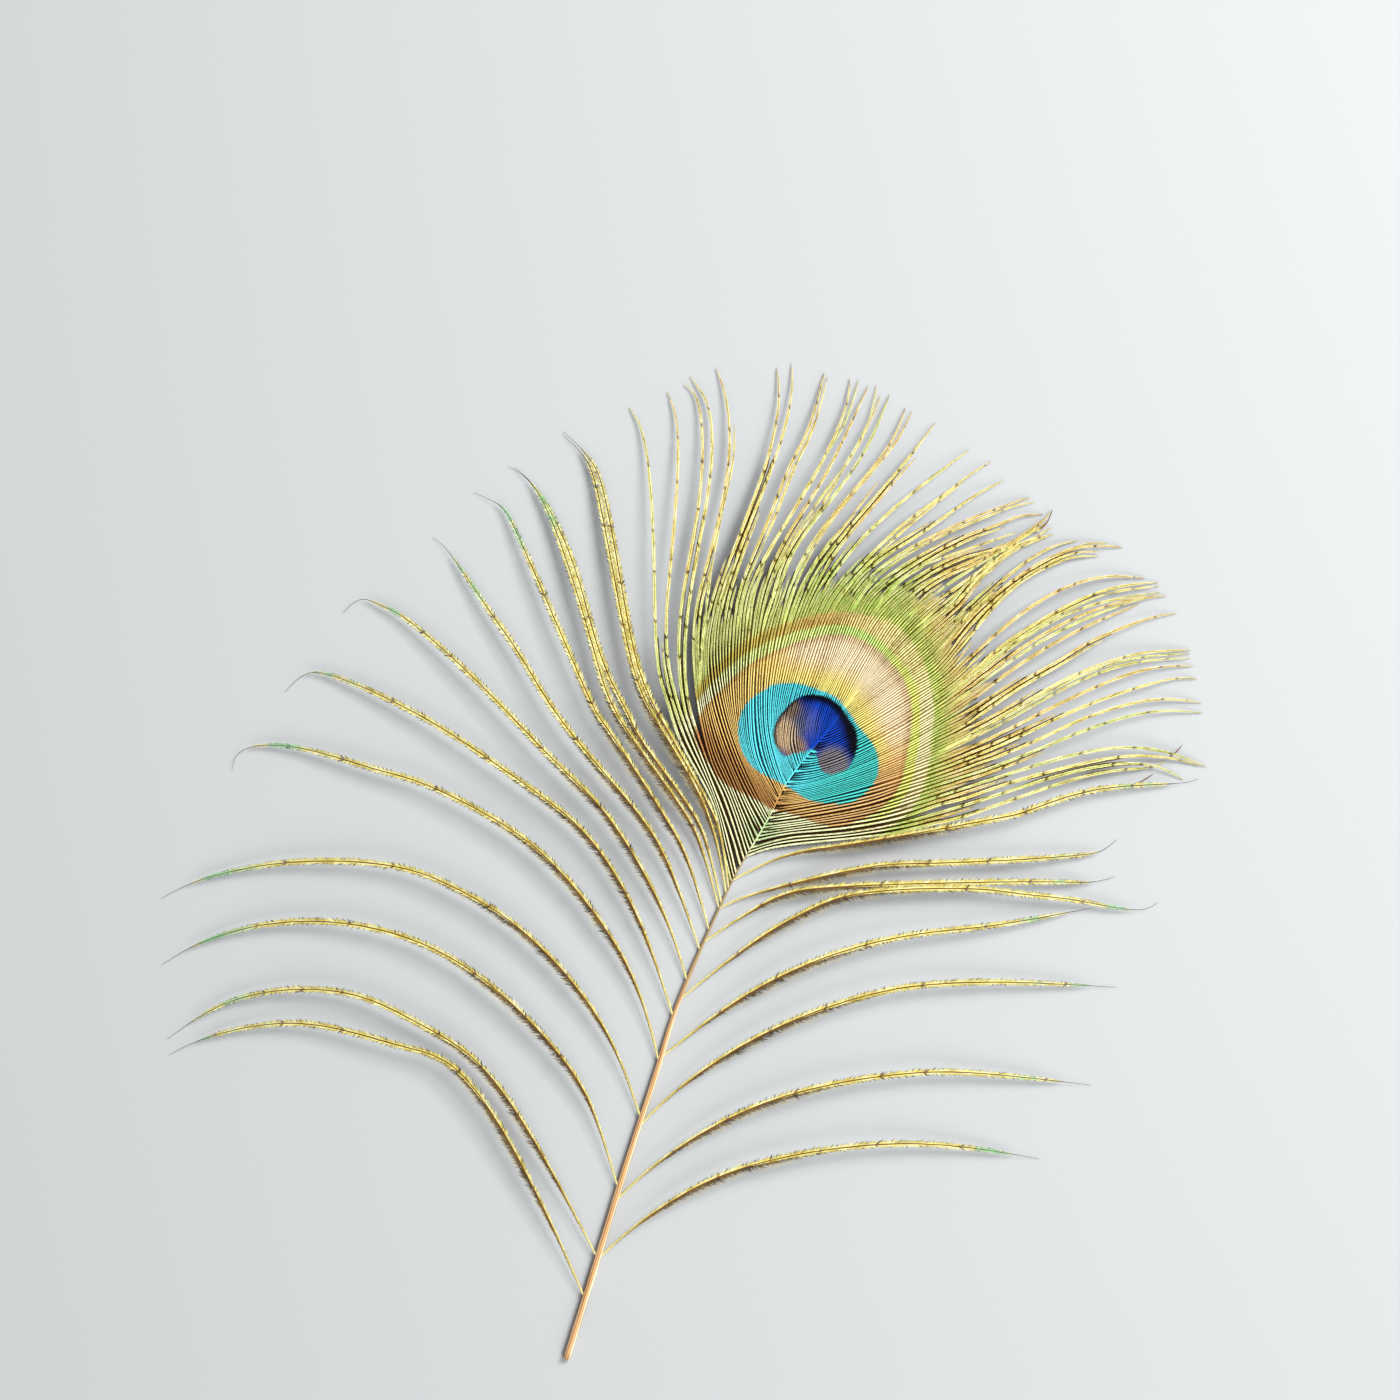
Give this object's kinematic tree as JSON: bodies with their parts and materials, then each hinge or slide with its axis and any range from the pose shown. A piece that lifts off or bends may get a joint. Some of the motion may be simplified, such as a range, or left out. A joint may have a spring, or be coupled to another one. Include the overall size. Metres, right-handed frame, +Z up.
{
  "type": "peacock feather",
  "caption": "Trimmed eye end of a peacock tail feather: a curved shaft with a dense eyed vane at its end, a fan of fine barbs round it and long loose barbs on both sides, lying face up",
  "frame": {"origin": "centre of the feather's outline, on the table that it lies on (z = 0)", "axes": "+X to the right and +Y toward the top of the fan, seen from above with the eye's face up; +Z up, out of the face"},
  "size_m": [0.2098, 0.1996, 0.0044],
  "materials": {
    "feather": "satin, iridescent"
  },
  "bodies": {
    "root": {"feather": "feather"}
  },
  "joints": []
}
